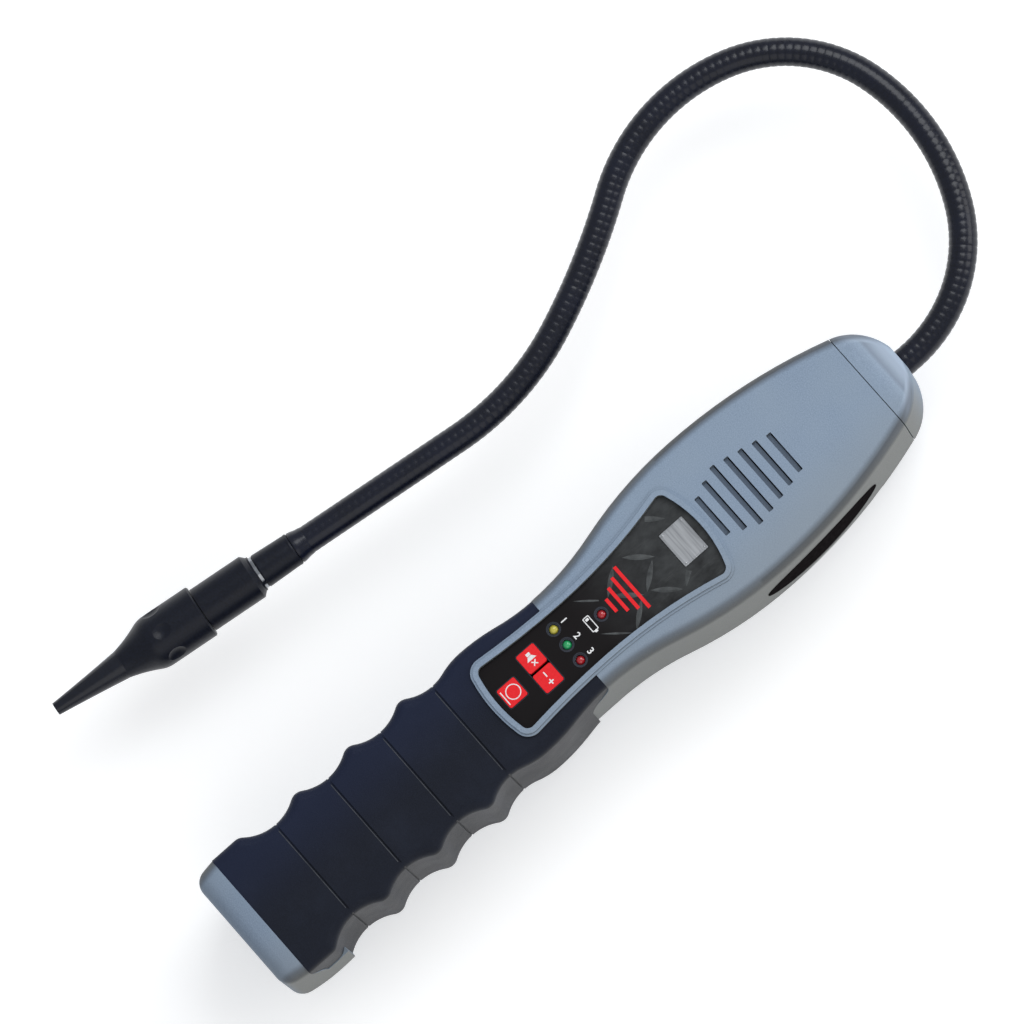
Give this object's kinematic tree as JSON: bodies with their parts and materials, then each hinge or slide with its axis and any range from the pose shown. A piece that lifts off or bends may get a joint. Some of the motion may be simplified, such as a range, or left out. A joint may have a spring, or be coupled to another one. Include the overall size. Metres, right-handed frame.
{
  "type": "refrigerant leak detector",
  "caption": "Handheld refrigerant leak detector with a ribbed rubber grip, keypad and lamps, speaker slots and a bendable neck ending in a sensor tip.",
  "frame": {"origin": "centre of the flat back face under the middle of the head", "axes": "+X to the right side with the keypad seen from the front, +Y from the butt to the nose, +Z out of the keypad side"},
  "size_m": [0.1384, 0.3179, 0.041],
  "materials": {
    "shell_grey": "fine-textured grey-blue moulding",
    "grip_rubber": "matte near-black soft grip",
    "label_black": "black film label",
    "key_red": "red rubber key",
    "lamp_yellow": "unlit yellow lamp",
    "lamp_green": "unlit green lamp",
    "lamp_red": "unlit red lamp",
    "switch_black": "black tactile switch",
    "board_green": "green circuit board",
    "screw_steel": "zinc-plated steel",
    "speaker_black": "black paper cone and case",
    "tray_black": "black moulding",
    "cell_case": "plain cell with a film wrap",
    "contact_nickel": "nickel-plated contact",
    "door_grey": "fine-textured grey-blue moulding",
    "neck_black": "glossy black sleeve over a ribbed flexible core",
    "anchor_brass": "turned brass collar",
    "tip_black": "glossy black moulding",
    "ring_chrome": "bright retaining ring",
    "sensor_can": "pressed metal can",
    "filter_white": "felt filter",
    "nozzle_black": "flexible black tip"
  },
  "bodies": {
    "housing": {"front_shell": "shell_grey", "rear_shell": "shell_grey", "nose_cap": "shell_grey", "grip_sleeve": "grip_rubber", "label_plate": "label_black", "side_label": "label_black", "power_switch": "switch_black", "mute_switch": "switch_black", "sensitivity_switch": "switch_black", "yellow_lamp": "lamp_yellow", "green_lamp": "lamp_green", "red_lamp": "lamp_red", "low_battery_lamp": "lamp_red", "circuit_board": "board_green", "board_screws": "screw_steel", "tray_screws": "screw_steel", "case_screws": "screw_steel", "speaker": "speaker_black", "battery_tray": "tray_black", "battery_cell_left_rear": "cell_case", "battery_cell_left_fore": "cell_case", "battery_cell_right_rear": "cell_case", "battery_cell_right_fore": "cell_case", "battery_springs": "contact_nickel", "contact_plates": "contact_nickel", "neck_base": "neck_black", "neck_anchor": "anchor_brass"},
    "power_key_body": {"power_key": "key_red"},
    "mute_key_body": {"mute_key": "key_red"},
    "sensitivity_key_body": {"sensitivity_key": "key_red"},
    "battery_door_body": {"battery_door": "door_grey"},
    "neck_1": {"neck_span_1": "neck_black"},
    "neck_2": {"neck_span_2": "neck_black"},
    "neck_3": {"neck_span_3": "neck_black"},
    "neck_4": {"neck_span_4": "neck_black"},
    "neck_5": {"neck_span_5": "neck_black"},
    "neck_6": {"neck_span_6": "neck_black"},
    "tip": {"neck_span_7": "neck_black", "ferrule": "tip_black", "retaining_ring": "ring_chrome", "sensor_holder": "tip_black", "sensor": "sensor_can"},
    "cover": {"sensor_cover": "tip_black", "filter_disc": "filter_white", "nozzle": "nozzle_black"}
  },
  "joints": [
    {"name": "power_key_press", "type": "slide", "parent": "housing", "child": "power_key_body", "axis": [0, 0, -1], "range_m": [0, 0.0004], "stiffness_N_per_m": 1500, "springref_m": -0.0002},
    {"name": "mute_key_press", "type": "slide", "parent": "housing", "child": "mute_key_body", "axis": [0, 0, -1], "range_m": [0, 0.0004], "stiffness_N_per_m": 1500, "springref_m": -0.0002},
    {"name": "sensitivity_key_press", "type": "slide", "parent": "housing", "child": "sensitivity_key_body", "axis": [0, 0, -1], "range_m": [0, 0.0004], "stiffness_N_per_m": 1500, "springref_m": -0.0002},
    {"name": "battery_door_slide", "type": "slide", "parent": "housing", "child": "battery_door_body", "axis": [0, -1, 0], "range_m": [0, 0.118]},
    {"name": "neck_swing_1", "type": "hinge", "parent": "housing", "child": "neck_1", "pos_m": [0, 0.073, 0.02], "axis": [0, 0, 1], "range_deg": [-20, 10]},
    {"name": "neck_lift_2", "type": "hinge", "parent": "neck_1", "child": "neck_2", "pos_m": [-0.02469, 0.11274, 0.02], "axis": [0.4664, 0.8846, 0], "range_deg": [-12, 10]},
    {"name": "neck_swing_3", "type": "hinge", "parent": "neck_2", "child": "neck_3", "pos_m": [-0.07225, 0.11854, 0.02], "axis": [0, 0, -1], "range_deg": [-8, 15]},
    {"name": "neck_lift_4", "type": "hinge", "parent": "neck_3", "child": "neck_4", "pos_m": [-0.10412, 0.08979, 0.02], "axis": [-0.9409, 0.3387, 0], "range_deg": [-5, 15]},
    {"name": "neck_swing_5", "type": "hinge", "parent": "neck_4", "child": "neck_5", "pos_m": [-0.09802, 0.03661, 0.02], "axis": [0, 0, 1], "range_deg": [-15, 12]},
    {"name": "neck_lift_6", "type": "hinge", "parent": "neck_5", "child": "neck_6", "pos_m": [-0.0779, -0.00279, 0.02], "axis": [-0.9323, -0.3616, 0], "range_deg": [-6, 15]},
    {"name": "neck_swing_7", "type": "hinge", "parent": "neck_6", "child": "tip", "pos_m": [-0.07275, -0.046, 0.02], "axis": [0, 0, -1], "range_deg": [-15, 20]},
    {"name": "cover_slide", "type": "slide", "parent": "tip", "child": "cover", "axis": [-0.1323, -0.9912, 0], "range_m": [0, 0.02]}
  ]
}
